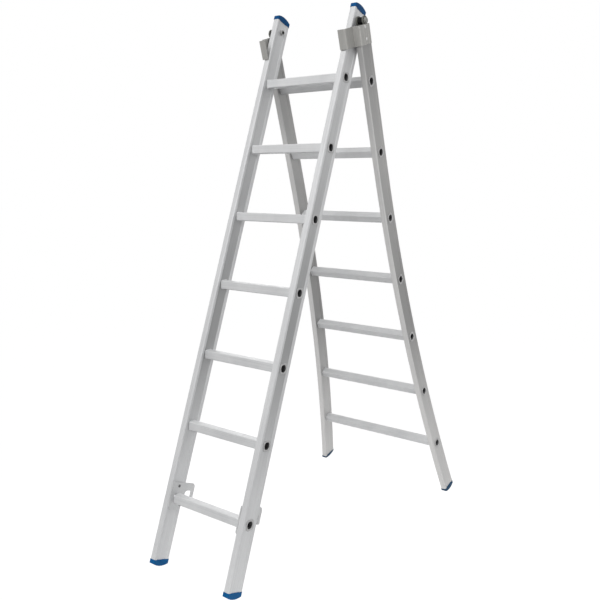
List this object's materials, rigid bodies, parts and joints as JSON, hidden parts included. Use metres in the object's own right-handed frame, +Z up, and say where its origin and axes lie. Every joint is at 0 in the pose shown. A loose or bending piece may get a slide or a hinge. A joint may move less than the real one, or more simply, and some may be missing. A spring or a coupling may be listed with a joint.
{
  "type": "multi position ladder",
  "caption": "Aluminium combination ladder standing as a double-sided step ladder: straight front section hung by rollers on a rear section with outward-curved stiles.",
  "frame": {"origin": "floor level, midway between the four feet", "axes": "+X to the ladder's right seen from its front, +Y from the straight front section towards the flared rear section, +Z up"},
  "size_m": [0.6544, 1.285, 1.8926],
  "materials": {
    "stile": "satin anodised extrusion",
    "rung": "satin anodised, ribbed",
    "blue_plastic": "moulded, slightly grained",
    "plate": "pressed plate, satin",
    "bracket": "extruded, dull",
    "roller": "hard black nylon",
    "bolt": "black oxide",
    "zinc": "zinc plated"
  },
  "bodies": {
    "rear_section": {"rear_rung_1": "rung", "rear_rung_2": "rung", "rear_rung_3": "rung", "rear_rung_4": "rung", "rear_rung_5": "rung", "rear_rung_6": "rung", "rear_rung_7": "rung", "rear_stile_left": "stile", "rear_foot_left": "blue_plastic", "guide_bracket_left": "bracket", "rear_stile_right": "stile", "rear_foot_right": "blue_plastic", "guide_bracket_right": "bracket"},
    "front_section": {"front_rung_1": "rung", "front_rung_2": "rung", "front_rung_3": "rung", "front_rung_4": "rung", "front_rung_5": "rung", "front_rung_6": "rung", "front_rung_7": "rung", "front_stile_left": "stile", "front_foot_left": "blue_plastic", "front_cap_left": "blue_plastic", "hook_plate_left": "plate", "front_stile_right": "stile", "front_foot_right": "blue_plastic", "front_cap_right": "blue_plastic", "hook_plate_right": "plate", "pivot_bolts": "bolt", "pivot_nuts": "zinc"},
    "roller_left": {"pivot_roller_left": "roller"},
    "roller_right": {"pivot_roller_right": "roller"}
  },
  "joints": [
    {"name": "fold", "type": "hinge", "parent": "rear_section", "child": "front_section", "pos_m": [0, 0.00845, 1.83372], "axis": [1, 0, 0], "range_deg": [0, 17]},
    {"name": "left_roller", "type": "hinge", "parent": "front_section", "child": "roller_left", "pos_m": [-0.19, 0.00845, 1.83372], "axis": [1, 0, 0], "continuous": true},
    {"name": "right_roller", "type": "hinge", "parent": "front_section", "child": "roller_right", "pos_m": [0.19, 0.00845, 1.83372], "axis": [1, 0, 0], "continuous": true}
  ]
}
